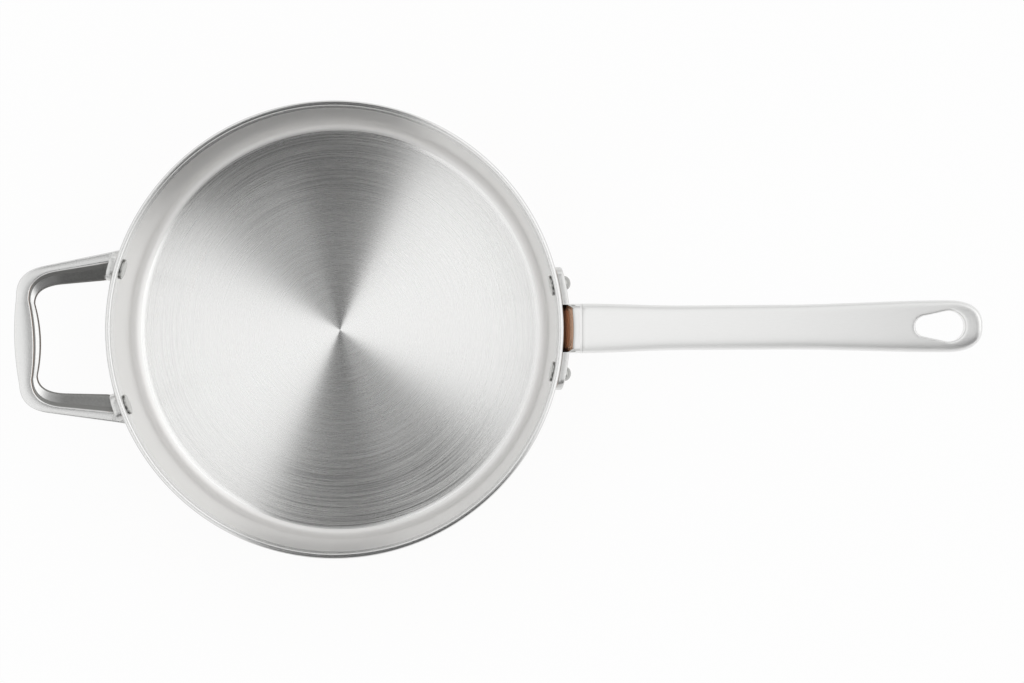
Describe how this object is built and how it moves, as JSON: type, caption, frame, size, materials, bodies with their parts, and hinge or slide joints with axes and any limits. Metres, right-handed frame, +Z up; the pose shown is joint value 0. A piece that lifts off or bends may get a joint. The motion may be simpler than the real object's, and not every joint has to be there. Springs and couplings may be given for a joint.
{
  "type": "saute pan",
  "caption": "Round straight-sided saute pan with a brushed steel lining, a copper outside, a riveted long handle with a hanging hole and a riveted loop helper handle.",
  "frame": {"origin": "middle of the flat underside of the bowl, on the surface that the pan stands on", "axes": "+X towards the long handle, +Z up out of the bowl's mouth, +Y to the left seen from the helper handle"},
  "size_m": [0.5606, 0.268, 0.1097],
  "materials": {
    "lining_steel": "concentric brushed",
    "core_aluminium": "rolled",
    "skin_copper": "polished copper",
    "cast_steel": "satin cast steel",
    "grip_steel": "satin, brushed lengthwise",
    "rivet_steel": "turned and pressed"
  },
  "bodies": {
    "root": {"steel_lining": "lining_steel", "aluminium_core": "core_aluminium", "copper_skin": "skin_copper", "handle_bracket": "cast_steel", "handle_grip": "grip_steel", "handle_rivet_left": "rivet_steel", "handle_rivet_right": "rivet_steel", "helper_handle": "cast_steel", "helper_rivet_left": "rivet_steel", "helper_rivet_right": "rivet_steel"}
  },
  "joints": []
}
